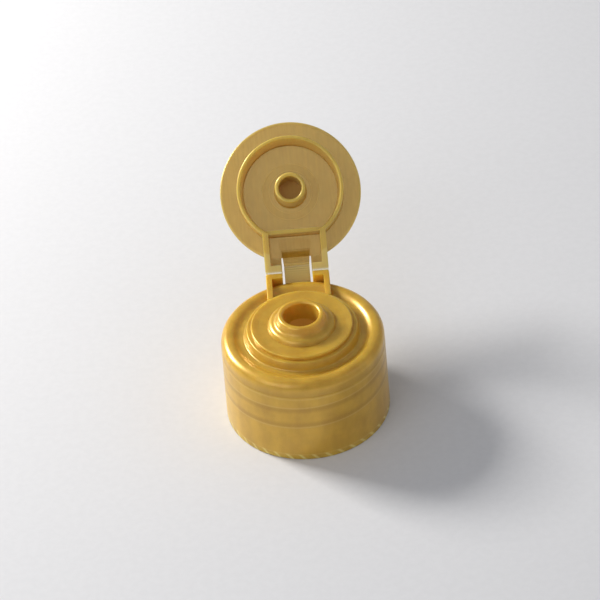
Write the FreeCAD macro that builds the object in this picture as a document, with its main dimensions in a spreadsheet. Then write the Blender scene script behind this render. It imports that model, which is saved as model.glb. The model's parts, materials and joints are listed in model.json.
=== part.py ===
"""Flip top cap: one polypropylene moulding whose base, lid and snap strap move about living hinges.

Frame: millimetres, +Z up, origin at the centre of the open rim that faces the bottle, the hinge at +Y.
The base stands on its rim. The lid is drawn closed and its placement swings it open about the hinge.
"""

import FreeCAD, Part
import math
import os

import Sketcher

DEGREE = "1deg"
SHEET_NAME = "Sizes"
TOLERANCE = 1e-6

SIZES = {
    # Skirt, from the open rim up to the shoulder.
    "skirt_radius": 13.75,
    "skirt_draft": 0.23,
    "rim_chamfer": 0.15,
    "parting_height": 13.5,
    "parting_step": 0.03,
    "shoulder_height": 16.2,
    "shoulder_round": 1.5,
    # Stepped deck, from the shoulder in to the spout.
    "crest_radius": 11.55,
    "valley_radius": 10.6,
    "valley_depth": 0.6,
    "valley_round": 1.2,
    "step_foot_radius": 9.58,
    "step_foot_rise": 0.12,
    "cove_round": 0.35,
    "edge_round": 0.2,
    "ledge_radius": 9.08,
    "ledge_height": 17.15,
    "plateau_radius": 8.37,
    "plateau_rise": 0.62,
    "plateau_draft": 0.05,
    "dish_radius": 7.2,
    "dish_depth": 0.17,
    "dish_fall": 0.04,
    "dish_round": 4.0,
    "dome_radius": 5.65,
    "dome_draft": 0.35,
    "dome_rise": 0.74,
    "dome_round": 0.8,
    "spout_foot_radius": 4.25,
    "spout_foot_rise": 0.99,
    "spout_foot_round": 0.7,
    "spout_rise": 2.3,
    "lip_radius": 3.34,
    "lip_half_width": 0.42,
    "lip_round": 0.46,
    "funnel_rise": 0.95,
    "orifice_radius": 2.74,
    "deck_wall": 1.1,
    # Inside of the base.
    "land_height": 14.6,
    "seal_radius": 8.65,
    "seal_wall": 0.72,
    "seal_depth": 2.2,
    "seal_lead": 0.5,
    "relief_radius": 9.35,
    "relief_depth": 0.8,
    "thread_root_radius": 12.15,
    "thread_root_top": 12.2,
    "land_radius": 11.75,
    "mouth_radius": 12.5,
    "mouth_depth": 6.0,
    # Anti-rotation teeth under the rim.
    "tooth_count": 40,
    "tooth_outer_radius": 13.3,
    "tooth_radial_depth": 1.0,
    "tooth_depth": 1.0,
    "tooth_gap_share": 0.9,
    "tooth_steep_share": 0.34,
    # Hinge.
    "hinge_reach": 14.15,
    "hinge_half_width": 5.35,
    "hinge_wall": 1.0,
    "block_inner": 2.52,
    "block_depth": 1.3,
    "block_round": 0.45,
    "wall_round": 0.18,
    "flange_front": 7.6,
    "flange_bury": 0.75,
    "open_angle": 134.7,
    # Snap strap and the curved leaf that carries it inside the lid.
    "strap_width": 4.3,
    "strap_thickness": 0.42,
    "pivot_radius": 2.1,
    "pivot_lean": 4.0,
    "pivot_gap": 0.16,
    "leaf_reach": 6.0,
    "leaf_width": 5.2,
    "leaf_thickness": 0.5,
    "leaf_bend": 1.3,
    "leaf_round": 4.2,
    "notch_reach": 3.0,
    "root_recess_radius": 12.72,
    "root_recess_floor": 14.95,
    "root_web": 0.25,
    # Lid, measured closed.
    "disc_radius": 12.05,
    "disc_thickness": 1.0,
    "disc_round": 0.4,
    "lid_clearance": 0.06,
    "lid_wall_height": 4.84,
    "ring_radius": 9.05,
    "ring_rim": 0.6,
    "ring_draft": 0.32,
    "chord_front": 6.85,
    "chord_wall": 0.65,
    "plug_radius": 2.6,
    "plug_bore": 1.93,
    "plug_length": 5.95,
    "plug_draft": 0.06,
    "plug_round": 0.3,
    "halo_inner": 3.65,
    "halo_outer": 4.8,
    "halo_depth": 0.08,
}


class Size:
    """A number together with the spreadsheet expression that gives it."""

    def __init__(self, value, text):
        self.value = float(value)
        self.text = text

    @staticmethod
    def of(other):
        return other if isinstance(other, Size) else Size(other, f"({float(other)})")

    def _joined(self, other, symbol, value):
        return Size(value, f"({self.text} {symbol} {other.text})")

    def __add__(self, other):
        other = Size.of(other)
        return self._joined(other, "+", self.value + other.value)

    def __sub__(self, other):
        other = Size.of(other)
        return self._joined(other, "-", self.value - other.value)

    def __mul__(self, other):
        other = Size.of(other)
        return self._joined(other, "*", self.value * other.value)

    def __truediv__(self, other):
        other = Size.of(other)
        return self._joined(other, "/", self.value / other.value)

    def __radd__(self, other):
        return Size.of(other) + self

    def __rsub__(self, other):
        return Size.of(other) - self

    def __rmul__(self, other):
        return Size.of(other) * self

    def __neg__(self):
        return Size(-self.value, f"(-1 * {self.text})")


def sine(angle):
    angle = Size.of(angle)
    return Size(math.sin(math.radians(angle.value)), f"sin({angle.text} * {DEGREE})")


def cosine(angle):
    angle = Size.of(angle)
    return Size(math.cos(math.radians(angle.value)), f"cos({angle.text} * {DEGREE})")


def root(size):
    return Size(math.sqrt(size.value), f"sqrt({size.text})")


class Sizes:
    """Reads each spreadsheet alias as a Size."""

    def __init__(self, sheet):
        self._sheet = sheet

    def __getattr__(self, alias):
        return Size(self._sheet.get(alias), f"{SHEET_NAME}.{alias}")


def make_sheet(doc):
    sheet = doc.addObject("Spreadsheet::Sheet", SHEET_NAME)
    for row, (alias, value) in enumerate(SIZES.items(), start=1):
        sheet.set(f"A{row}", alias)
        sheet.set(f"B{row}", str(value))
        sheet.setAlias(f"B{row}", alias)
    doc.recompute()
    return Sizes(sheet)


def bind(feature, prop, size):
    """Ties one property of a feature to the expression of a size."""
    feature.setExpression(prop, size.text)


def make_body(doc, label):
    body = doc.addObject("PartDesign::Body", label)
    body.Label = label
    return body


def origin_plane(body, role):
    return next(item for item in body.Origin.OriginFeatures if item.Role == role)


def rounded_corner(before, corner, after, radius):
    """Start, end, centre and side of the fillet that rounds a corner."""
    to_before = (before - corner).normalize()
    to_after = (after - corner).normalize()
    half_angle = to_before.getAngle(to_after) / 2
    reach = radius / math.tan(half_angle)
    middle = (to_before + to_after).normalize()
    centre = corner + middle * (radius / math.sin(half_angle))
    left_turn = (-to_before).cross(to_after).z > 0
    return corner + to_before * reach, corner + to_after * reach, centre, left_turn


def draw(body, name, plane, corners, lift=None):
    """A closed sketch through corners (x, y) or (x, y, radius), every coordinate bound to the sheet."""
    sketch = body.newObject("Sketcher::SketchObject", name)
    sketch.AttachmentSupport = (origin_plane(body, plane), [""])
    sketch.MapMode = "FlatFace"
    if lift is not None:
        sketch.AttachmentOffset = FreeCAD.Placement(FreeCAD.Vector(0, 0, lift.value), FreeCAD.Rotation())
        bind(sketch, "AttachmentOffset.Base.z", lift)
    sized = [[Size.of(entry) for entry in corner] for corner in corners]
    points = [FreeCAD.Vector(corner[0].value, corner[1].value, 0) for corner in sized]
    count = len(points)
    rounds = {}
    for index, corner in enumerate(sized):
        if len(corner) > 2:
            rounds[index] = rounded_corner(
                points[index - 1], points[index], points[(index + 1) % count], corner[2].value
            )
    lines = []
    for index in range(count):
        after = (index + 1) % count
        start = rounds[index][1] if index in rounds else points[index]
        end = rounds[after][0] if after in rounds else points[after]
        lines.append(sketch.addGeometry(Part.LineSegment(start, end), False))
    bound = []
    for index, corner in enumerate(sized):
        before, after = lines[index - 1], lines[index]
        if index in rounds:
            first, last, centre, left_turn = rounds[index]
            begin, finish = (first, last) if left_turn else (last, first)
            start_angle = math.atan2(begin.y - centre.y, begin.x - centre.x)
            end_angle = math.atan2(finish.y - centre.y, finish.x - centre.x)
            circle = Part.Circle(centre, FreeCAD.Vector(0, 0, 1), corner[2].value)
            arc = sketch.addGeometry(Part.ArcOfCircle(circle, start_angle, end_angle), False)
            mark = sketch.addGeometry(Part.Point(points[index]), True)
            begin_end, finish_end = (1, 2) if left_turn else (2, 1)
            sketch.addConstraint(Sketcher.Constraint("Tangent", before, 2, arc, begin_end))
            sketch.addConstraint(Sketcher.Constraint("Tangent", arc, finish_end, after, 1))
            sketch.addConstraint(Sketcher.Constraint("PointOnObject", mark, 1, before))
            sketch.addConstraint(Sketcher.Constraint("PointOnObject", mark, 1, after))
            radius = sketch.addConstraint(Sketcher.Constraint("Radius", arc, corner[2].value))
            bound.append((radius, corner[2]))
            owner = mark
        else:
            sketch.addConstraint(Sketcher.Constraint("Coincident", before, 2, after, 1))
            owner = after
        for axis, kind, place in ((-2, "DistanceX", corner[0]), (-1, "DistanceY", corner[1])):
            if place.value == 0:
                sketch.addConstraint(Sketcher.Constraint("PointOnObject", owner, 1, axis))
            else:
                datum = Sketcher.Constraint(kind, -1, 1, owner, 1, place.value)
                bound.append((sketch.addConstraint(datum), place))
    for datum, size in bound:
        sketch.setExpression(f"Constraints[{datum}]", size.text)
    return sketch


def rectangle(left, low, right, high):
    return [(left, low), (right, low), (right, high), (left, high)]


def hinge_plan(S, inner, front):
    """Plan of one hinge wall or block: its rear outer corner is rounded."""
    back = S.hinge_reach
    return [(inner, front), (S.hinge_half_width, front), (S.hinge_half_width, back, S.block_round), (inner, back)]


def pad(body, sketch, length, symmetric=False, downward=False):
    feature = body.newObject("PartDesign::Pad", f"{sketch.Name}_pad")
    feature.Profile = (sketch, [""])
    feature.SideType = "Symmetric" if symmetric else "One side"
    feature.Reversed = downward
    feature.Length = length.value
    bind(feature, "Length", length)
    return feature


def pocket(body, sketch, length, along_normal=False):
    feature = body.newObject("PartDesign::Pocket", f"{sketch.Name}_pocket")
    feature.Profile = (sketch, [""])
    feature.Reversed = along_normal
    feature.Length = length.value
    bind(feature, "Length", length)
    return feature


def revolve(body, sketch, kind="Revolution"):
    feature = body.newObject(f"PartDesign::{kind}", f"{sketch.Name}_turned")
    feature.Profile = (sketch, [""])
    feature.ReferenceAxis = (sketch, ["V_Axis"])
    feature.Angle = 360
    return feature


def base_half_section(S):
    """Half section of the base: skirt, shoulder, stepped deck, spout, seal ring and land."""
    skirt_top = S.skirt_radius - S.skirt_draft
    shoulder_radius = skirt_top - S.parting_step
    valley_height = S.shoulder_height - S.valley_depth
    plateau_height = S.ledge_height + S.plateau_rise
    dish_height = plateau_height - S.dish_depth
    dome_foot_height = dish_height - S.dish_fall
    lip_height = dome_foot_height + S.spout_rise
    deck_underside = dome_foot_height - S.deck_wall
    seal_tip = S.land_height - S.seal_depth
    relief_top = S.land_height + S.relief_depth
    return [
        (S.skirt_radius - S.rim_chamfer, 0),
        (S.skirt_radius, S.rim_chamfer),
        (skirt_top, S.parting_height),
        (shoulder_radius, S.parting_height),
        (shoulder_radius, S.shoulder_height, S.shoulder_round),
        (S.crest_radius, S.shoulder_height, S.valley_round),
        (S.valley_radius, valley_height, S.valley_round),
        (S.step_foot_radius, valley_height + S.step_foot_rise, S.cove_round),
        (S.ledge_radius, S.ledge_height, S.edge_round),
        (S.plateau_radius + S.plateau_draft, S.ledge_height),
        (S.plateau_radius, plateau_height, S.edge_round),
        (S.dish_radius, dish_height, S.dish_round),
        (S.dome_radius, dome_foot_height),
        (S.dome_radius - S.dome_draft, dome_foot_height + S.dome_rise, S.dome_round),
        (S.spout_foot_radius, dome_foot_height + S.spout_foot_rise, S.spout_foot_round),
        (S.lip_radius + S.lip_half_width, lip_height, S.lip_round),
        (S.lip_radius - S.lip_half_width, lip_height, S.lip_round),
        (S.orifice_radius, deck_underside + S.funnel_rise),
        (S.orifice_radius, deck_underside),
        (S.seal_radius - S.seal_wall, deck_underside),
        (S.seal_radius - S.seal_wall, seal_tip),
        (S.seal_radius - S.seal_wall / 2, seal_tip),
        (S.seal_radius, seal_tip + S.seal_lead),
        (S.seal_radius, relief_top),
        (S.relief_radius, relief_top),
        (S.relief_radius, S.land_height),
        (S.land_radius, S.land_height),
        (S.thread_root_radius, S.thread_root_top),
        (S.thread_root_radius, S.mouth_depth + S.mouth_radius - S.thread_root_radius),
        (S.mouth_radius, S.mouth_depth),
        (S.mouth_radius, 0),
    ]


def tooth_gap_section(S):
    """The gap between two saw-toothed tips, seen from outside the rim: one steep and one gentle flank."""
    half_gap = S.tooth_outer_radius * math.pi / S.tooth_count * S.tooth_gap_share
    peak = half_gap * 2 * S.tooth_steep_share - half_gap
    return [
        (-half_gap, -S.tooth_depth),
        (half_gap, -S.tooth_depth),
        (half_gap, 0),
        (peak, S.tooth_depth),
        (-half_gap, 0),
    ]


class Point:
    """A place in the hinge's side view: y towards the hinge and z up."""

    def __init__(self, y, z):
        self.y = Size.of(y)
        self.z = Size.of(z)

    def moved(self, along, across, direction):
        """The point shifted along and to the left of a direction."""
        return Point(
            self.y + direction.y * along - direction.z * across,
            self.z + direction.z * along + direction.y * across,
        )


def towards(start, end):
    """Unit direction from one point to another."""
    across, up = end.y - start.y, end.z - start.z
    length = root(across * across + up * up)
    return Point(across / length, up / length)


def on_circle(centre, radius, angle):
    return Point(centre.y + cosine(angle) * radius, centre.z + sine(angle) * radius)


class HingeLayout:
    """Pivots of the snap hinge: the lid turns on the axis, the strap on the base pivot."""

    def __init__(self, S):
        self.axis = Point(S.hinge_reach, S.ledge_height)
        lid_angle = 90 + S.open_angle / 4 + S.pivot_lean
        base_angle = 270 - S.open_angle / 4 + S.pivot_lean
        self.base_pivot = on_circle(self.axis, S.pivot_radius, base_angle)
        self.lid_pivot_closed = on_circle(self.axis, S.pivot_radius, lid_angle)
        self.lid_pivot_open = on_circle(self.axis, S.pivot_radius, lid_angle - S.open_angle)


def add_strap_root(body, S, hinge):
    """Low web in the recess behind the shoulder, from which the strap springs."""
    half = S.strap_thickness / 2
    plan = rectangle(-S.strap_width / 2, hinge.base_pivot.y - half, S.strap_width / 2, hinge.base_pivot.y + half)
    pad(body, draw(body, "strap_root", "XY_Plane", plan, S.root_recess_floor - S.root_web), S.root_web * 2)


def soften(body, name, radius, chosen):
    """Rounds the straight edges of the body so far whose middle point and direction are chosen."""
    base = body.Tip
    names = []
    for number, edge in enumerate(base.Shape.Edges, start=1):
        if edge.Curve.TypeId == "Part::GeomLine":
            middle = edge.valueAt((edge.FirstParameter + edge.LastParameter) / 2)
            if chosen(middle, edge.tangentAt(edge.FirstParameter)):
                names.append(f"Edge{number}")
    fillet = body.newObject("PartDesign::Fillet", name)
    fillet.Base = (base, names)
    fillet.Radius = radius.value
    bind(fillet, "Radius", radius)
    return fillet


def add_pair(body, S, name, corners, lift, length):
    """Pads the same plan outline on both sides of the middle plane."""
    for side, sign in (("left", -1), ("right", 1)):
        sided = [(corner[0] * sign, *corner[1:]) for corner in corners]
        outline = draw(body, f"{name}_{side}", "XY_Plane", sided, lift)
        pad(body, outline, length)


def make_base(doc, S, hinge):
    """The base: the skirt under a stepped deck with the spout, and the lower half of the hinge."""
    body = make_body(doc, "closure_base")
    section = draw(body, "base_section", "XZ_Plane", base_half_section(S))
    revolve(body, section)

    gap = draw(body, "tooth_gap", "XZ_Plane", tooth_gap_section(S), S.tooth_outer_radius)
    tooth = pocket(body, gap, S.tooth_radial_depth)
    teeth = body.newObject("PartDesign::PolarPattern", "teeth")
    teeth.Originals = [tooth]
    teeth.Axis = (section, ["V_Axis"])
    teeth.Angle = 360
    teeth.Occurrences = int(S.tooth_count.value)
    bind(teeth, "Occurrences", S.tooth_count)
    teeth.Refine = False
    body.Tip = teeth

    recess_outline = rectangle(
        S.root_recess_radius, S.root_recess_floor, S.skirt_radius * 1.1, S.shoulder_height * 1.1
    )
    recess = revolve(body, draw(body, "strap_recess", "YZ_Plane", recess_outline), "Groove")
    recess.Midplane = True
    reach = S.block_inner / S.root_recess_radius
    half_sweep = Size(math.degrees(math.asin(reach.value)), f"asin({reach.text})")
    recess.Angle = 2 * half_sweep.value
    bind(recess, "Angle", half_sweep * 2)

    block_front = S.hinge_reach - S.block_depth
    wall_inner = S.hinge_half_width - S.hinge_wall
    block_plan = hinge_plan(S, S.block_inner, block_front)
    add_pair(body, S, "base_block", block_plan, S.parting_height, S.ledge_height - S.parting_height)
    flange_foot = S.shoulder_height - S.flange_bury
    flange_plan = hinge_plan(S, wall_inner, S.flange_front)
    add_pair(body, S, "base_flange", flange_plan, flange_foot, S.ledge_height - flange_foot)

    add_strap_root(body, S, hinge)

    def on_outer_top(middle, direction):
        at_top = abs(middle.z - S.ledge_height.value) < TOLERANCE
        beside = abs(abs(middle.x) - S.hinge_half_width.value) < TOLERANCE
        return at_top and beside and abs(direction.y) > 1 - TOLERANCE

    body.Document.recompute()
    soften(body, "flange_rounding", S.wall_round, on_outer_top)
    return body


def make_strap(doc, S, hinge):
    """The snap strap: a thin band between the two outer pivots, drawn with the lid open."""
    body = make_body(doc, "spring_strap")
    along = towards(hinge.base_pivot, hinge.lid_pivot_open)
    half = S.strap_thickness / 2
    start = hinge.base_pivot.moved(S.pivot_gap, 0, along)
    end = hinge.lid_pivot_open.moved(-S.pivot_gap, 0, along)
    neck = S.strap_thickness
    corners = [
        start.moved(0, -half / 2, along),
        start.moved(neck, -half, along),
        end.moved(-neck, -half, along),
        end.moved(0, -half / 2, along),
        end.moved(0, half / 2, along),
        end.moved(-neck, half, along),
        start.moved(neck, half, along),
        start.moved(0, half / 2, along),
    ]
    outline = draw(body, "strap_section", "YZ_Plane", [(corner.y, corner.z) for corner in corners])
    pad(body, outline, S.strap_width, symmetric=True)
    return body


def leaf_section(S, hinge, ceiling):
    """Side view of the curved leaf that leaves the ceiling and ends at the strap's upper pivot."""
    half = S.leaf_thickness / 2
    tip = hinge.lid_pivot_closed
    anchor = Point(S.hinge_reach - S.leaf_reach, ceiling)
    bend = Point(tip.y - S.leaf_bend, ceiling)
    down = towards(bend, tip)
    end = tip.moved(-S.pivot_gap, 0, down)
    # Where the offset lines of both legs meet, measured from the bend.
    miter = (1 - down.y) / down.z * half
    return [
        (anchor.y, ceiling + half),
        (anchor.y, ceiling - half),
        (bend.y + miter, ceiling - half, S.leaf_round - half),
        (end.moved(0, -half, down).y, end.moved(0, -half, down).z),
        (end.moved(0, half, down).y, end.moved(0, half, down).z),
        (bend.y - miter, ceiling + half, S.leaf_round + half),
    ]


def lid_half_section(S, ceiling, top):
    """Half section of the lid's round parts: the disc with its faint halo ring and the plug."""
    tip = ceiling - S.plug_length
    return [
        (0, top),
        (S.disc_radius, top, S.disc_round),
        (S.disc_radius, ceiling, S.disc_round / 2),
        (S.halo_outer, ceiling),
        (S.halo_outer, ceiling + S.halo_depth),
        (S.halo_inner, ceiling + S.halo_depth),
        (S.halo_inner, ceiling),
        (S.plug_radius + S.plug_draft, ceiling, S.plug_round),
        (S.plug_radius, tip, S.plug_round),
        (S.plug_bore, tip, S.plug_round),
        (S.plug_bore - S.plug_draft, ceiling),
        (0, ceiling),
    ]


def ring_half_section(S, rim, ceiling, bury):
    """Half section of the skirt ring, thicker at its root, its root sunk into the disc."""
    inner = S.ring_radius - S.ring_rim
    rounding = S.ring_rim / 3
    return [
        (S.ring_radius, ceiling + bury),
        (inner - S.ring_draft, ceiling + bury),
        (inner - S.ring_draft, ceiling),
        (inner, rim, rounding),
        (S.ring_radius, rim, rounding),
    ]


def make_lid(doc, S, hinge):
    """The lid, drawn closed, then swung open about the hinge by its placement."""
    body = make_body(doc, "lid")
    rim = S.ledge_height + S.lid_clearance
    ceiling = rim + S.lid_wall_height
    top = ceiling + S.disc_thickness
    bury = S.disc_thickness / 2
    wall_height = ceiling + bury - rim

    leaf = draw(body, "leaf_section", "YZ_Plane", leaf_section(S, hinge, ceiling))
    pad(body, leaf, S.leaf_width, symmetric=True)
    narrow = S.strap_width / 2
    for side, sign in (("left", -1), ("right", 1)):
        taper = [
            (S.leaf_width / 2 * sign, S.hinge_reach - S.leaf_reach),
            (S.leaf_width * sign, S.hinge_reach - S.leaf_reach),
            (S.leaf_width * sign, S.hinge_reach),
            (narrow * sign, S.hinge_reach),
            (narrow * sign, hinge.lid_pivot_closed.y),
        ]
        pocket(body, draw(body, f"leaf_taper_{side}", "XY_Plane", taper, top), S.lid_wall_height + top - ceiling)

    disc = draw(body, "lid_section", "XZ_Plane", lid_half_section(S, ceiling, top))
    revolve(body, disc)
    revolve(body, draw(body, "ring_section", "XZ_Plane", ring_half_section(S, rim, ceiling, bury)))

    inside = S.hinge_half_width - S.hinge_wall
    chord_back = S.chord_front + S.chord_wall
    clearing = rectangle(-inside, chord_back, inside, S.ring_radius * 1.1)
    pocket(body, draw(body, "hinge_box_clearing", "XY_Plane", clearing, ceiling), S.lid_wall_height * 1.1)

    floor = rectangle(-S.hinge_half_width, S.chord_front, S.hinge_half_width, S.hinge_reach - S.block_depth)
    pad(body, draw(body, "hinge_box_floor", "XY_Plane", floor, ceiling), S.disc_thickness)
    chord_end = S.hinge_half_width - S.hinge_wall / 2
    chord_rim = S.ledge_height + S.plateau_rise + S.lid_clearance * 2
    chord = rectangle(-chord_end, S.chord_front, chord_end, chord_back)
    pad(body, draw(body, "chord_wall", "XY_Plane", chord, chord_rim), ceiling + bury - chord_rim)
    wall_plan = hinge_plan(S, inside, chord_back - S.chord_wall / 3)
    add_pair(body, S, "side_wall", wall_plan, rim, wall_height)
    block_plan = hinge_plan(S, S.block_inner, S.hinge_reach - S.block_depth)
    add_pair(body, S, "lid_block", block_plan, rim, top - rim)

    notch = rectangle(-S.block_inner, S.hinge_reach - S.notch_reach, S.block_inner, S.hinge_reach * 1.1)
    lift = ceiling - S.leaf_thickness / 2
    pocket(body, draw(body, "leaf_notch", "XY_Plane", notch, lift), S.disc_thickness * 2, along_normal=True)

    turn = -S.open_angle
    axis = hinge.axis
    body.Placement.Rotation = FreeCAD.Rotation(FreeCAD.Vector(1, 0, 0), turn.value)
    bind(body, "Placement.Rotation.Angle", turn)
    bind(body, "Placement.Base.y", axis.y - axis.y * cosine(turn) + axis.z * sine(turn))
    bind(body, "Placement.Base.z", axis.z - axis.y * sine(turn) - axis.z * cosine(turn))
    return body


def check(doc):
    """Stops if any object failed to compute or any sub-part has a bad shape."""
    doc.recompute()
    for item in doc.Objects:
        if "Invalid" in item.State or "Error" in item.State:
            raise RuntimeError(f"{item.Name} failed: {item.State}")


def main():
    doc = FreeCAD.newDocument("flip_top_cap")
    S = make_sheet(doc)
    hinge = HingeLayout(S)
    parts = [make_base(doc, S, hinge), make_lid(doc, S, hinge), make_strap(doc, S, hinge)]
    check(doc)
    os.makedirs("parts", exist_ok=True)
    for part in parts:
        shape = part.Shape
        if shape.isNull() or not shape.isValid():
            raise RuntimeError(f"{part.Label} has no valid shape")
        shape.exportStep(f"parts/{part.Label}.step")
        print(part.Label, len(shape.Solids), "solid(s)", round(shape.Volume, 1), "mm3", shape.BoundBox)


main()
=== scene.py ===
"""Looks of a flip top cap that stands open: pearl gold polypropylene, hinge films, thread and studio."""

import json
import logging
import math
from collections.abc import Iterable, Sequence
from dataclasses import dataclass, field
from enum import Enum
from typing import Any

import bpy
from mathutils import Matrix, Vector


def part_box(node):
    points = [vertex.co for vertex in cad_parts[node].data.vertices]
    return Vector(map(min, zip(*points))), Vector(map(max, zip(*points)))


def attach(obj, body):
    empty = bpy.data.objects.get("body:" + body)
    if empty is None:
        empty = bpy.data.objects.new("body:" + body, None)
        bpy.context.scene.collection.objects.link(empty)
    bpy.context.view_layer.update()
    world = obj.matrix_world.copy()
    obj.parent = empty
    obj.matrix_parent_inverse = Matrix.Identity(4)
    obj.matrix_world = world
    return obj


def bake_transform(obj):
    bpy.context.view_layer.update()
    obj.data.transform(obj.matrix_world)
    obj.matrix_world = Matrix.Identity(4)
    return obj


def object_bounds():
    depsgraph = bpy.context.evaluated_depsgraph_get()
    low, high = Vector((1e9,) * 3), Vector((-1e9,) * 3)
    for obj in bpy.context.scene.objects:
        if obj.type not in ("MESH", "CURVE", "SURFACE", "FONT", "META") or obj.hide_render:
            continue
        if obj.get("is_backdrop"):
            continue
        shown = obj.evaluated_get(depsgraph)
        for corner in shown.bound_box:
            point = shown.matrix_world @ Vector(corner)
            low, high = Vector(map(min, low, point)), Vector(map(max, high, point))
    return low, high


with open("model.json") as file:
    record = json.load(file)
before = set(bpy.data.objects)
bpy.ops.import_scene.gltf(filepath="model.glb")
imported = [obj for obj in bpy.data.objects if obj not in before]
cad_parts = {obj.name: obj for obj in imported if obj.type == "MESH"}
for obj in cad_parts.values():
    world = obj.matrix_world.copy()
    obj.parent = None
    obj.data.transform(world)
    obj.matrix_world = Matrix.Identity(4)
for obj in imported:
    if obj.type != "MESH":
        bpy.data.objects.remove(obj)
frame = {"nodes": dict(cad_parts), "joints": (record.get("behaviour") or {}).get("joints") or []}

LOG = logging.getLogger("flip_top_cap")
MM = 0.001

Colour = tuple[float, float, float]


class Body(Enum):
    """The rigid bodies of the closure."""

    BASE = "base"
    LID = "lid"
    STRAP = "strap"


class Slot(Enum):
    """The record's material slots."""

    BASE = "base_shell"
    LID = "lid_shell"
    FILM = "hinge_film"


def linear(colour: Colour) -> tuple[float, float, float, float]:
    """Turns a colour as the eye names it, 0 to 1 a channel, into the renderer's linear RGBA.

    Args:
        colour: Red, green and blue from 0 to 1.

    Returns:
        Linear red, green and blue, with an alpha of 1.
    """
    channels = [c / 12.92 if c <= 0.04045 else ((c + 0.055) / 1.055) ** 2.4 for c in colour]
    return (channels[0], channels[1], channels[2], 1.0)


class Graph:
    """One material's node tree, with a method that makes any node."""

    def __init__(self, name: str) -> None:
        """Starts an empty material.

        Args:
            name: The material's name.
        """
        self.material = bpy.data.materials.new(name)
        self.material.use_nodes = True
        self.tree = self.material.node_tree
        self.tree.nodes.clear()

    def node(
        self, kind: str, settings: dict[str, Any] | None = None, inputs: dict[Any, Any] | None = None
    ) -> bpy.types.Node:
        """Makes a node, sets it up and then feeds its sockets.

        Args:
            kind: The node's type, without the ShaderNode prefix.
            settings: Properties of the node. The key "stops" fills a colour ramp with (place, colour) pairs.
            inputs: Values or links by socket name or number.

        Returns:
            The new node.
        """
        made = self.tree.nodes.new(f"ShaderNode{kind}")
        for key, setting in (settings or {}).items():
            if key == "stops":
                elements = made.color_ramp.elements
                while len(elements) < len(setting):
                    elements.new(0.5)
                for element, (place, colour) in zip(elements, setting):
                    element.position = place
                    element.color = colour
            else:
                setattr(made, key, setting)
        for key, given in (inputs or {}).items():
            self.feed(made.inputs[key], given)
        return made

    def feed(self, socket: bpy.types.NodeSocket, given: Any) -> None:
        """Links or sets one socket.

        Args:
            socket: The socket that takes the value.
            given: A Value, another node's socket, or a plain value.
        """
        if isinstance(given, Value):
            given = given.socket
        if isinstance(given, bpy.types.NodeSocket):
            self.tree.links.new(given, socket)
        else:
            socket.default_value = given

    def position(self) -> tuple["Value", "Value", "Value"]:
        """The place on the object in millimetres, as three numbers."""
        coordinates = self.node("TexCoord").outputs["Object"]
        scaled = self.node("VectorMath", {"operation": "SCALE"}, {0: coordinates, "Scale": 1 / MM})
        parts = self.node("SeparateXYZ", inputs={0: scaled.outputs[0]})
        return tuple(Value(self, parts.outputs[axis]) for axis in "XYZ")

    def vector(self, x: Any, y: Any, z: Any) -> bpy.types.NodeSocket:
        """Joins three numbers into a vector socket."""
        return self.node("CombineXYZ", inputs={0: x, 1: y, 2: z}).outputs[0]

    def noise(self, where: Any, scale: float, detail: float = 2.0, roughness: float = 0.5) -> "Value":
        """Soft noise from 0 to 1.

        Args:
            where: The place it is read at, in millimetres.
            scale: Features per millimetre.
            detail: How many finer layers are added.
            roughness: How strong the finer layers are.

        Returns:
            The noise as a number.
        """
        inputs = {"Vector": where, "Scale": scale, "Detail": detail, "Roughness": roughness}
        return Value(self, self.node("TexNoise", {"noise_dimensions": "3D"}, inputs).outputs[0])

    def blend(self, share: Any, first: Any, second: Any) -> bpy.types.NodeSocket:
        """Mixes two colours.

        Args:
            share: How much of the second colour shows.
            first: A colour or a colour socket.
            second: A colour or a colour socket.

        Returns:
            The mixed colour's socket.
        """
        mix = self.node("Mix", {"data_type": "RGBA", "clamp_factor": True})
        self.feed(mix.inputs["Factor"], share)
        colour_inputs = [socket for socket in mix.inputs if socket.type == "RGBA"]
        for socket, colour in zip(colour_inputs, (first, second)):
            self.feed(socket, linear(colour) if isinstance(colour, tuple) else colour)
        return next(socket for socket in mix.outputs if socket.type == "RGBA")


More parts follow.
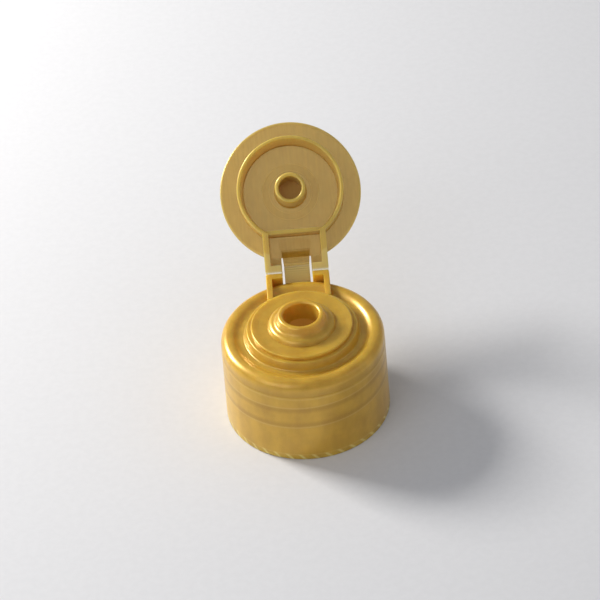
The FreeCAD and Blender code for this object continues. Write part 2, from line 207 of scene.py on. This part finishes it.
class Value:
    """A number socket that takes part in Python arithmetic: each operation adds its Math node."""

    def __init__(self, graph: Graph, socket: bpy.types.NodeSocket) -> None:
        """Wraps a socket.

        Args:
            graph: The tree the socket belongs to.
            socket: The wrapped socket.
        """
        self.graph = graph
        self.socket = socket

    def math(self, operation: str, *others: Any) -> "Value":
        """Adds one Math node that starts from this number.

        Args:
            operation: The Math node's operation.
            others: Further numbers.

        Returns:
            The result as a new Value.
        """
        inputs = dict(enumerate((self, *others)))
        return Value(self.graph, self.graph.node("Math", {"operation": operation}, inputs).outputs[0])

    def reflected(self, operation: str, other: float) -> "Value":
        """Adds one Math node whose first number is a plain one."""
        inputs = {0: other, 1: self}
        return Value(self.graph, self.graph.node("Math", {"operation": operation}, inputs).outputs[0])

    def __add__(self, other: Any) -> "Value":
        """This plus another."""
        return self.math("ADD", other)

    def __radd__(self, other: float) -> "Value":
        """A plain number plus this."""
        return self.reflected("ADD", other)

    def __sub__(self, other: Any) -> "Value":
        """This minus another."""
        return self.math("SUBTRACT", other)

    def __rsub__(self, other: float) -> "Value":
        """A plain number minus this."""
        return self.reflected("SUBTRACT", other)

    def __mul__(self, other: Any) -> "Value":
        """This times another."""
        return self.math("MULTIPLY", other)

    def __rmul__(self, other: float) -> "Value":
        """A plain number times this."""
        return self.reflected("MULTIPLY", other)

    def __truediv__(self, other: Any) -> "Value":
        """This divided by another."""
        return self.math("DIVIDE", other)

    def __rtruediv__(self, other: float) -> "Value":
        """A plain number divided by this."""
        return self.reflected("DIVIDE", other)

    def __pow__(self, other: Any) -> "Value":
        """This to a power."""
        return self.math("POWER", other)

    def __neg__(self) -> "Value":
        """This with its sign turned."""
        return self.reflected("MULTIPLY", -1.0)

    def __abs__(self) -> "Value":
        """This without its sign."""
        return self.math("ABSOLUTE")

    def rise(self, low: float, high: float) -> "Value":
        """A smooth step from 0 at low to 1 at high, or the reverse where low is the larger."""
        inputs = {"Value": self, "From Min": low, "From Max": high}
        settings = {"interpolation_type": "SMOOTHSTEP", "clamp": True}
        return Value(self.graph, self.graph.node("MapRange", settings, inputs).outputs[0])

    def line(self, place: float, half_width: float) -> "Value":
        """A soft line: 1 where this equals place, and 0 beyond half_width."""
        return abs(self - place).rise(half_width, 0.0)

    def band(self, low: float, high: float, soft: float) -> "Value":
        """1 between low and high, with soft edges outside them."""
        return self.rise(low - soft, low) * self.rise(high + soft, high)


@dataclass(frozen=True)
class PearlPolypropylene:
    """Pearl gold polypropylene: satin, a little metallic from its pigment, and slightly translucent."""

    deep: Colour = (0.66, 0.48, 0.12)
    body: Colour = (0.86, 0.69, 0.23)
    glow: Colour = (0.96, 0.87, 0.52)
    clear: Colour = (0.92, 0.86, 0.70)
    # Colour of a painted glow, given as emission, in place of light that would come in through the wall.
    through: Colour = (0.40, 0.29, 0.11)
    roughness: float = 0.34
    metallic: float = 0.26
    coat: float = 0.35
    coat_roughness: float = 0.22
    scatter: float = 0.80
    scatter_reach_mm: float = 2.4
    scatter_tint: Colour = (1.0, 0.80, 0.35)
    flake_scale: float = 14.0
    flow_scale: float = 0.35
    grain_depth_mm: float = 0.012

    def dress(
        self,
        graph: Graph,
        place: Sequence[Value],
        tint: bpy.types.NodeSocket,
        dullness: Value | None = None,
        cover: Value | float | None = None,
        painted_glow: Value | float | None = None,
    ) -> bpy.types.Material:
        """Finishes a material from its tinted colour.

        Args:
            graph: The material's tree.
            place: The place on the object in millimetres.
            tint: The colour that the piece's own pattern has made, with any painted shade and painted highlights
                already in it.
            dullness: Added to the roughness where the surface is duller.
            cover: How much of each wall hides what is behind it, for thin clear places.
            painted_glow: Where a painted glow, given as emission, stands in for daylight that would reach the inside
                through the wall.

        Returns:
            The finished material.
        """
        where = graph.vector(*place)
        flakes = graph.noise(where, self.flake_scale, 3.0, 0.7)
        grain = graph.noise(where, self.flake_scale / 5, 2.0, 0.6)
        glint = flakes.rise(0.48, 0.74) * 0.22
        colour = graph.blend(glint, tint, self.glow)
        rough = self.roughness + (grain - 0.5) * 0.14 + (flakes - 0.5) * 0.08
        if dullness is not None:
            rough = rough + dullness
        bump = graph.node(
            "Bump",
            inputs={"Strength": 0.35, "Distance": self.grain_depth_mm * MM, "Height": grain * 0.7 + flakes * 0.3},
        )
        inputs = {
            "Base Color": colour,
            "Roughness": rough,
            "Metallic": self.metallic,
            "Coat Weight": self.coat,
            "Coat Roughness": self.coat_roughness,
            "Subsurface Weight": self.scatter,
            "Subsurface Radius": self.scatter_tint,
            "Subsurface Scale": self.scatter_reach_mm * MM,
            "Specular IOR Level": 0.55,
            "Normal": bump.outputs[0],
        }
        # Painted glow: emission that stands in for light coming in through the wall.
        if painted_glow is not None:
            inputs["Emission Color"] = graph.blend(painted_glow, (0.0, 0.0, 0.0), self.through)
            inputs["Emission Strength"] = 1.0
        shader = graph.node("BsdfPrincipled", {"subsurface_method": "RANDOM_WALK"}, inputs)
        if cover is not None:
            clear = graph.node("BsdfTransparent", inputs={"Color": linear(self.clear)})
            shader = graph.node("MixShader", inputs={0: cover, 1: clear.outputs[0], 2: shader.outputs[0]})
        graph.node("OutputMaterial", inputs={"Surface": shader.outputs[0]})
        return graph.material


@dataclass(frozen=True)
class StressWhite:
    """Polypropylene drawn thin and bent until it turned milky."""

    colour: Colour = (0.97, 0.94, 0.86)
    fold: Colour = (0.92, 0.84, 0.66)
    roughness: float = 0.42

    def material(self, name: str) -> bpy.types.Material:
        """Makes the whitened finish with its fine cross lines.

        Args:
            name: The material's name.

        Returns:
            The material.
        """
        graph = Graph(name)
        x, y, z = graph.position()
        craze = graph.noise(graph.vector(x * 5.0, y * 0.8, z * 0.8), 1.6, 3.0, 0.6)
        colour = graph.blend(craze.rise(0.42, 0.7) * 0.7, self.colour, self.fold)
        bump = graph.node("Bump", inputs={"Strength": 0.4, "Distance": 0.02 * MM, "Height": craze})
        inputs = {
            "Base Color": colour,
            "Roughness": self.roughness + (craze - 0.5) * 0.2,
            "Subsurface Weight": 0.6,
            "Subsurface Radius": (1.0, 0.85, 0.6),
            "Subsurface Scale": 0.4 * MM,
            "Normal": bump.outputs[0],
        }
        shader = graph.node("BsdfPrincipled", inputs=inputs)
        graph.node("OutputMaterial", inputs={"Surface": shader.outputs[0]})
        return graph.material


def strip(name: str, outline: Sequence[tuple[float, float]], left: float, right: float, cuts: int) -> bpy.types.Object:
    """A bar along X with a closed outline in the hinge's side view.

    Args:
        name: The piece's name.
        outline: (y, z) corners in metres, counter-clockwise seen from +X.
        left: Lowest x in metres.
        right: Highest x in metres.
        cuts: How many pieces it is divided into along X.

    Returns:
        The new object, linked to the scene.
    """
    count = len(outline)
    points = []
    for step in range(cuts + 1):
        x = left + (right - left) * step / cuts
        points += [(x, y, z) for y, z in outline]
    faces = [tuple(reversed(range(count))), tuple(range(cuts * count, (cuts + 1) * count))]
    for step in range(cuts):
        for corner in range(count):
            after = (corner + 1) % count
            low, high = step * count, (step + 1) * count
            faces.append((low + corner, low + after, high + after, high + corner))
    return piece(name, points, faces)


def piece(name: str, points: Iterable[Sequence[float]], faces: Iterable[Sequence[int]]) -> bpy.types.Object:
    """Makes a smooth-shaded mesh object from points and faces."""
    mesh = bpy.data.meshes.new(name)
    mesh.from_pydata([tuple(point) for point in points], [], [tuple(face) for face in faces])
    mesh.validate()
    mesh.update()
    for polygon in mesh.polygons:
        polygon.use_smooth = True
    made = bpy.data.objects.new(name, mesh)
    bpy.context.scene.collection.objects.link(made)
    made.data.set_sharp_from_angle(angle=math.radians(40))
    return made


def paint(target: bpy.types.Object, material: bpy.types.Material) -> None:
    """Gives an object one material in every slot."""
    slots = target.material_slots
    if not slots:
        target.data.materials.append(material)
    for slot in slots:
        slot.material = material


@dataclass
class HingeLines:
    """The three pivot lines of the snap hinge, in metres, from the record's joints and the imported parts."""

    axis: Vector = field(init=False)
    root: Vector = field(init=False)
    crease: Vector = field(init=False)

    def __post_init__(self) -> None:
        """Reads the pivots."""
        joints = {joint["name"]: Vector(joint["pos_m"]) for joint in frame["joints"]}
        self.axis = joints["lid_hinge"]
        self.root = joints["strap_hinge"]
        low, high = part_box("spring_strap")
        self.crease = Vector((0, high.y, high.z))


@dataclass
class ClosureBase:
    """The base: its skin, and the screw thread inside its skirt."""

    finish: PearlPolypropylene = field(default_factory=PearlPolypropylene)
    land_mm: float = 14.6
    thread_root_mm: float = 12.15
    thread_crest_mm: float = 11.3
    thread_pitch_mm: float = 3.175
    thread_start_mm: float = 8.42
    thread_lead: float = 0.35
    thread_turns: float = 1.35
    thread_foot_mm: float = 1.3
    thread_bury_mm: float = 0.12
    thread_steps: int = 150
    thread_runout_steps: int = 12
    thread_top_mm: float = 0.5
    tooth_count: int = 40
    tooth_height_mm: float = 1.0

    def skin(self) -> bpy.types.Material:
        """The skirt and deck, with painted shadow bands where the thread and the land make the wall thick, painted
        highlight lines along the thread flanks, the land and the slanted teeth, and painted shade inside the skirt.
        """
        graph = Graph("base_pearl_gold")
        x, y, z = place = graph.position()
        radius = (x * x + y * y) ** 0.5
        turn = y.math("ARCTAN2", x) / math.tau
        skirt = radius.rise(13.1, 13.35) * z.rise(14.9, 13.6)

        # Painted shadow bands where the thread ridge lies behind the wall, with painted highlight lines along its edges
        # and at the land.
        along = (z - self.thread_start_mm) / self.thread_pitch_mm - turn
        phase = (along + 0.5).math("FRACT")
        lowest = self.thread_start_mm - self.thread_pitch_mm * self.thread_lead
        highest = lowest + self.thread_pitch_mm * self.thread_turns
        upper_half = z.rise(lowest + 1.6, lowest + 2.4)
        ridge_span = z.band(lowest - 0.6, highest + 0.6, 0.4)
        ridge = phase.line(0.5, 0.30) * ridge_span * skirt
        edge = phase.line(0.34, 0.08) * (1 - upper_half) + phase.line(0.66, 0.08) * upper_half
        flank_highlight = edge * ridge_span * skirt
        land_shade = z.rise(self.land_mm - 1.4, self.land_mm - 0.9) * skirt
        land_line_highlight = z.line(self.land_mm - 1.5, 0.28) * skirt

        # Painted highlights on the slanted rim teeth seen through the wall.
        slant = (turn * self.tooth_count + z * 0.42).math("FRACT")
        tooth_highlight = slant.line(0.5, 0.24) * z.rise(self.tooth_height_mm + 0.25, self.tooth_height_mm - 0.1) * skirt
        tooth_top_highlight = z.line(self.tooth_height_mm + 0.1, 0.22) * skirt

        flow = graph.noise(graph.vector(x * 0.5, y * 0.5, z * 0.18), self.finish.flow_scale * 2, 3.0, 0.55)
        cloud = graph.noise(graph.vector(x, y, z), self.finish.flow_scale, 2.0, 0.5)
        shade = (1 - flow.rise(0.3, 0.7)) * 0.28 + (1 - cloud.rise(0.35, 0.65)) * 0.18
        base = graph.blend(shade, self.finish.body, self.finish.deep)
        # Painted shadow over the thread ridge and the land, then painted highlights on the flanks, the land line and
        # the teeth.
        thread_land_shaded = graph.blend(ridge * 0.45 + land_shade * 0.30, base, self.finish.deep)
        lit = graph.blend(
            flank_highlight * 0.22 + land_line_highlight * 0.18 + tooth_highlight * 0.8 + tooth_top_highlight * 0.15, thread_land_shaded, self.finish.glow
        )
        # Painted shade inside the skirt and under the deck; the same mask gives it a painted glow and a duller surface.
        inside_shade_glow = radius.rise(12.9, 12.6) * z.rise(14.7, 14.2)
        inside_shaded = graph.blend(inside_shade_glow * 0.5, lit, self.finish.deep)
        dullness = inside_shade_glow * 0.12 + z.rise(1.0, 0.0) * 0.05
        return self.finish.dress(graph, place, inside_shaded, dullness, painted_glow=inside_shade_glow)

    def thread(self) -> bpy.types.Object:
        """The single right-hand thread ridge, with its ends run out into the wall.

        Returns:
            The ridge as one closed mesh.
        """
        steps = self.thread_steps
        runout = self.thread_runout_steps
        bury = self.thread_bury_mm
        points: list[tuple[float, float, float]] = []
        for step in range(steps + 1):
            share = step / steps
            turned = self.thread_turns * share - self.thread_lead
            angle = math.tau * turned
            fade = min(1.0, share * steps / runout, (1 - share) * steps / runout)
            depth = (self.thread_root_mm - self.thread_crest_mm) * (0.06 + 0.94 * math.sin(fade * math.pi / 2))
            height = self.thread_start_mm + self.thread_pitch_mm * turned
            section = (
                (self.thread_root_mm + bury, -self.thread_foot_mm / 2),
                (self.thread_root_mm, -self.thread_foot_mm / 2),
                (self.thread_root_mm - depth * 0.85, -self.thread_top_mm / 2 - 0.06),
                (self.thread_root_mm - depth, -self.thread_top_mm / 2 + 0.06),
                (self.thread_root_mm - depth, self.thread_top_mm / 2 - 0.06),
                (self.thread_root_mm - depth * 0.85, self.thread_top_mm / 2 + 0.06),
                (self.thread_root_mm, self.thread_foot_mm / 2),
                (self.thread_root_mm + bury, self.thread_foot_mm / 2),
            )
            for radius, lift in section:
                points.append(
                    (radius * math.cos(angle) * MM, radius * math.sin(angle) * MM, (height + lift) * MM)
                )
        width = len(section)
        faces: list[tuple[int, ...]] = [tuple(range(width)), tuple(reversed(range(steps * width, (steps + 1) * width)))]
        for step in range(steps):
            for corner in range(width):
                after = (corner + 1) % width
                low, high = step * width, (step + 1) * width
                faces.append((low + corner, high + corner, high + after, low + after))
        return piece("neck_thread_ridge", points, faces)

    def build(self) -> None:
        """Dresses the base and adds its thread."""
        skin = self.skin()
        paint(frame["nodes"]["closure_base"], skin)
        ridge = self.thread()
        paint(ridge, skin)
        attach(ridge, Body.BASE.value)
        LOG.info("base dressed, thread ridge of %d faces", len(ridge.data.polygons))


@dataclass
class Lid:
    """The lid: a thin clear disc that carries the ring, the plug and the hinge box."""

    hinge: HingeLines
    finish: PearlPolypropylene = field(
        default_factory=lambda: PearlPolypropylene(
            deep=(0.72, 0.56, 0.20), body=(0.88, 0.75, 0.36), glow=(0.97, 0.89, 0.60), scatter=0.5
        )
    )
    open_degrees: float = 134.7
    ceiling_mm: float = 22.05
    ring_mm: float = 9.05
    ring_wall_mm: float = 0.92
    plug_mm: float = 2.7
    halo_mm: tuple[float, float] = (3.65, 4.8)
    chord_mm: float = 6.85
    wall_inner_mm: float = 4.35
    wall_outer_mm: float = 5.35
    chord_wall_mm: float = 0.65
    # Radii of the painted highlight along the disc's rim edge.
    rim_edge_highlight_mm: tuple[float, float] = (11.55, 11.95)
    leaf_half_mm: tuple[float, float] = (2.62, 2.72)
    leaf_start_mm: tuple[float, float] = (7.9, 8.3)
    disc_cover: float = 0.36
    leaf_cover: float = 0.46

    def skin(self) -> bpy.types.Material:
        """Clear thin disc, opaque ring, plug and walls, with flow lines that run from the hinge."""
        graph = Graph("lid_pearl_gold")
        x, y, z = place = graph.position()
        turn = math.radians(self.open_degrees)
        axis_y, axis_z = self.hinge.axis.y / MM, self.hinge.axis.z / MM
        back, up = y - axis_y, z - axis_z
        shut_y = axis_y + back * math.cos(turn) - up * math.sin(turn)
        shut_z = axis_z + back * math.sin(turn) + up * math.cos(turn)
        radius = (x * x + shut_y * shut_y) ** 0.5

        below = shut_z.rise(self.ceiling_mm, self.ceiling_mm - 0.12)
        ring_root = radius.band(self.ring_mm - self.ring_wall_mm, self.ring_mm, 0.12)
        plug_root = radius.rise(self.plug_mm + 0.15, self.plug_mm)
        box = abs(x).band(self.wall_inner_mm, self.wall_outer_mm, 0.1) * shut_y.rise(self.chord_mm, self.chord_mm + 0.3)
        chord = shut_y.band(self.chord_mm, self.chord_mm + self.chord_wall_mm, 0.1) * abs(x).rise(
            self.wall_outer_mm, self.wall_outer_mm - 0.2
        )
        ring_root = ring_root * (
            1 - shut_y.rise(self.chord_mm + 0.3, self.chord_mm + 0.6) * abs(x).rise(self.wall_outer_mm, 4.9)
        )
        thick = below.math("MAXIMUM", ring_root).math("MAXIMUM", plug_root * 0.7)
        thick = thick.math("MAXIMUM", box).math("MAXIMUM", chord)

        streaks = graph.noise(graph.vector(x * 1.6, shut_y * 0.14, shut_z * 0.2), 1.1, 4.0, 0.6)
        mottle = graph.noise(graph.vector(x, shut_y, shut_z), 0.45, 3.0, 0.5)
        # Painted highlight along the disc's rim edge, which also hides more of what is behind.
        rim_edge_highlight = radius.rise(*self.rim_edge_highlight_mm)
        # Painted highlight lines at the two small steps of the disc's inner face, which also hide a little more of what
        # is behind.
        step_ring_highlight = radius.line(self.halo_mm[0], 0.09) + radius.line(self.halo_mm[1], 0.09)
        collar = radius.band(self.halo_mm[0], self.halo_mm[1], 0.05)
        shade = (1 - streaks.rise(0.3, 0.72)) * 0.20 + (1 - mottle.rise(0.3, 0.7)) * 0.15
        base = graph.blend(shade, self.finish.body, self.finish.deep)
        lit = graph.blend(step_ring_highlight * 0.4 + rim_edge_highlight * 0.4 + collar * 0.1, base, self.finish.glow)
        clear = self.disc_cover + (streaks - 0.5) * 0.14 + rim_edge_highlight * 0.25 + step_ring_highlight * 0.14 + collar * 0.06
        near_axis = (back * back + up * up) ** 0.5
        white = near_axis.rise(0.5, 0.1)
        lit = graph.blend(white * 0.6, lit, (0.97, 0.91, 0.76))
        leaf = abs(x).rise(*reversed(self.leaf_half_mm)) * shut_y.rise(*self.leaf_start_mm) * (1 - box)
        panel = self.leaf_cover + (streaks - 0.5) * 0.15
        cover = (clear + (1 - clear) * thick) * (1 - leaf) + panel * leaf
        return self.finish.dress(graph, place, lit, None, cover)

    def build(self) -> None:
        """Dresses the lid."""
        paint(frame["nodes"]["lid"], self.skin())
        LOG.info("lid dressed")


@dataclass
class SnapHinge:
    """The bending parts: the snap strap, the two hinge films beside it and the creases at its ends."""

    hinge: HingeLines
    film: StressWhite = field(default_factory=StressWhite)
    strap_finish: PearlPolypropylene = field(
        default_factory=lambda: PearlPolypropylene(
            deep=(0.74, 0.58, 0.30), body=(0.88, 0.77, 0.48), glow=(0.98, 0.92, 0.72), scatter=0.5
        )
    )
    film_thickness_mm: float = 0.13
    film_reach_mm: float = 0.13
    film_inner_mm: float = 2.6
    film_outer_mm: float = 5.3
    left_outer_mm: float = 4.95
    strap_half_mm: float = 2.15
    strap_cover: float = 0.54
    crease_count: float = 9.0
    film_cuts: int = 14
    root_cuts: int = 6
    open_degrees: float = 134.7

    def strap_skin(self) -> bpy.types.Material:
        """The strap: painted shade that darkens it towards its root, a painted highlight towards its upper end, and
        milky crease lines at its upper crease.
        """
        graph = Graph("snap_strap_gold")
        x, y, z = place = graph.position()
        root, crease = self.hinge.root / MM, self.hinge.crease / MM
        span = crease - root
        length = math.hypot(span.y, span.z)
        along = ((y - root.y) * (span.y / length) + (z - root.z) * (span.z / length)) / length
        creases = (along * self.crease_count).math("FRACT").line(0.5, 0.3) * along.rise(0.5, 0.85)
        # Painted shade, darker towards the strap's root.
        base = graph.blend(along.rise(0.6, 0.0) * 0.8, self.strap_finish.body, self.strap_finish.deep)
        # Painted highlight towards the strap's upper end; the crease lines are milky whitening.
        lit = graph.blend(along.rise(0.82, 1.0) * 0.8 + creases * 0.25, base, self.strap_finish.glow)
        return self.strap_finish.dress(graph, place, lit, None, self.strap_cover + creases * 0.2)

    def film_outline(self) -> list[tuple[float, float]]:
        """Side view of the film: a thin bent web that follows the inside corner of the open hinge."""
        half = self.film_thickness_mm * MM / 2
        reach = self.film_reach_mm * MM
        axis = self.hinge.axis
        lid_way = math.radians(180 - self.open_degrees)
        to_lid = Vector((0, math.cos(lid_way), math.sin(lid_way)))
        to_base = Vector((0, -1, 0))
        upper: list[tuple[float, float]] = []
        lower: list[tuple[float, float]] = []
        for step in range(9):
            share = step / 8 * 2 - 1
            way = to_lid if share > 0 else to_base
            middle = axis + way * reach * abs(share)
            normal = Vector((0, -to_lid.z, to_lid.y)) if share > 0 else Vector((0, 0, 1))
            if step == 4:
                normal = (Vector((0, -to_lid.z, to_lid.y)) + Vector((0, 0, 1))).normalized()
            upper.append(((middle + normal * half * 0.4).y, (middle + normal * half * 0.4).z))
            lower.append(((middle - normal * half * 1.6).y, (middle - normal * half * 1.6).z))
        return lower + list(reversed(upper))

    def add_film(self, name: str, left: float, right: float) -> None:
        """Adds one hinge film that bends between the base and the lid.

        Args:
            name: The piece's name.
            left: Lowest x in millimetres.
            right: Highest x in millimetres.
        """
        film = strip(name, self.film_outline(), left * MM, right * MM, self.film_cuts)
        paint(film, self.film.material(f"{name}_white"))
        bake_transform(film)
        LOG.info("%s added", name)

    def add_root_film(self) -> None:
        """Adds the thin crease between the strap's foot and the base."""
        root, crease = self.hinge.root, self.hinge.crease
        along = (crease - root).normalized()
        half = 0.09 * MM
        across = Vector((0, -along.z, along.y))
        start = root - Vector((0, 0, 0.2 * MM))
        end = root + along * 0.3 * MM
        outline = [start - across * half, end - across * half, end + across * half, start + across * half]
        film = strip(
            "strap_root_crease",
            [(point.y, point.z) for point in outline],
            -self.strap_half_mm * MM * 0.98,
            self.strap_half_mm * MM * 0.98,
            self.root_cuts,
        )
        paint(film, self.strap_skin())
        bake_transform(film)
        LOG.info("strap root crease added")

    def build(self) -> None:
        """Dresses the strap and adds the films."""
        paint(frame["nodes"]["spring_strap"], self.strap_skin())
        self.add_film("hinge_film_left", -self.left_outer_mm, -self.film_inner_mm)
        self.add_film("hinge_film_right", self.film_inner_mm, self.film_outer_mm)
        self.add_root_film()


@dataclass
class Studio:
    """Floor, lamps, world and camera."""

    floor_half: float = 1.2
    floor_colour: Colour = (0.86, 0.86, 0.87)
    world_colour: Colour = (0.90, 0.91, 0.93)
    world_strength: float = 0.38
    target: tuple[float, float, float] = (0.0000565, 0.012, 0.0126616)
    distance: float = 0.4228491
    azimuth: float = 0.14405
    elevation: float = 40.10322
    roll: float = -5.01082
    focal_px: float = 2504.0
    image_px: float = 600.0
    sensor_mm: float = 36.0

    def floor(self) -> None:
        """A pale matt floor."""
        graph = Graph("floor_paper")
        x, y, z = graph.position()
        fibre = graph.noise(graph.vector(x, y, z), 0.8, 4.0, 0.6)
        colour = graph.blend(fibre.rise(0.3, 0.7) * 0.35, self.floor_colour, (0.89, 0.89, 0.90))
        shader = graph.node("BsdfPrincipled", inputs={"Base Color": colour, "Roughness": 0.9})
        graph.node("OutputMaterial", inputs={"Surface": shader.outputs[0]})
        half = self.floor_half
        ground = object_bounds()[0][2]
        corners = [(-half, -half, ground), (half, -half, ground), (half, half, ground), (-half, half, ground)]
        floor = piece("studio_floor", corners, [(0, 1, 2, 3)])
        paint(floor, graph.material)
        floor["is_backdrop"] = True

    def lamp(
        self, name: str, place: Colour, aim: Colour, width: float, watts: float, colour: Colour = (1, 1, 1)
    ) -> None:
        """Adds one square lamp.

        Args:
            name: The lamp's name.
            place: Where it stands, in metres.
            aim: The point it faces.
            width: Its side length in metres.
            watts: Its power.
            colour: Its colour.
        """
        data = bpy.data.lights.new(name, "AREA")
        data.size = width
        data.energy = watts
        data.color = colour
        made = bpy.data.objects.new(name, data)
        made.location = place
        direction = Vector(aim) - Vector(place)
        made.rotation_euler = direction.to_track_quat("-Z", "Y").to_euler()
        bpy.context.scene.collection.objects.link(made)

    def lights(self) -> None:
        """A key lamp from the left behind, a soft fill from the front left and a faint one from the right."""
        aim = (0.0, 0.01, 0.012)
        self.lamp("key", (-0.33, 0.22, 0.25), aim, 0.13, 2.5, (1.0, 0.98, 0.94))
        self.lamp("fill", (-0.30, -0.32, 0.30), aim, 0.40, 0.60)
        self.lamp("side", (0.36, -0.10, 0.22), aim, 0.30, 0.10)

    def world(self) -> None:
        """An even pale surrounding."""
        world = bpy.data.worlds.new("studio_world")
        world.use_nodes = True
        tree = world.node_tree
        tree.nodes.clear()
        background = tree.nodes.new("ShaderNodeBackground")
        background.inputs["Color"].default_value = linear(self.world_colour)
        background.inputs["Strength"].default_value = self.world_strength
        output = tree.nodes.new("ShaderNodeOutputWorld")
        tree.links.new(background.outputs[0], output.inputs[0])
        bpy.context.scene.world = world

    def camera(self) -> None:
        """The view: from the front, well above, and turned a little about its own axis."""
        azimuth, elevation = math.radians(self.azimuth), math.radians(self.elevation)
        back = Vector(
            (
                math.sin(azimuth) * math.cos(elevation),
                -math.cos(azimuth) * math.cos(elevation),
                math.sin(elevation),
            )
        )
        right = (-back).cross(Vector((0, 0, 1))).normalized()
        up = right.cross(-back)
        roll = math.radians(self.roll)
        rolled_right = right * math.cos(roll) + up * math.sin(roll)
        rolled_up = up * math.cos(roll) - right * math.sin(roll)
        data = bpy.data.cameras.new("camera")
        data.sensor_width = self.sensor_mm
        data.lens = self.focal_px * self.sensor_mm / self.image_px
        data.clip_start = 0.01
        made = bpy.data.objects.new("camera", data)
        turn = Matrix((rolled_right, rolled_up, back)).transposed().to_4x4()
        made.matrix_world = Matrix.Translation(Vector(self.target) + back * self.distance) @ turn
        bpy.context.scene.collection.objects.link(made)
        bpy.context.scene.camera = made

    def build(self) -> None:
        """Sets the stage."""
        bpy.context.scene.view_settings.view_transform = "Standard"
        self.floor()
        self.lights()
        self.world()
        self.camera()
        LOG.info("studio set")


def corners(bounds: Any) -> list[list[float]]:
    """A box as plain lists of numbers."""
    return [[float(value) for value in corner] for corner in bounds]


def main() -> None:
    """Builds every part of the picture in order."""
    logging.basicConfig(level=logging.INFO, format="%(name)s: %(message)s")
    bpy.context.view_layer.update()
    hinge = HingeLines()
    Studio().build()
    ClosureBase().build()
    Lid(hinge).build()
    SnapHinge(hinge).build()


if __name__ == "__main__":
    main()
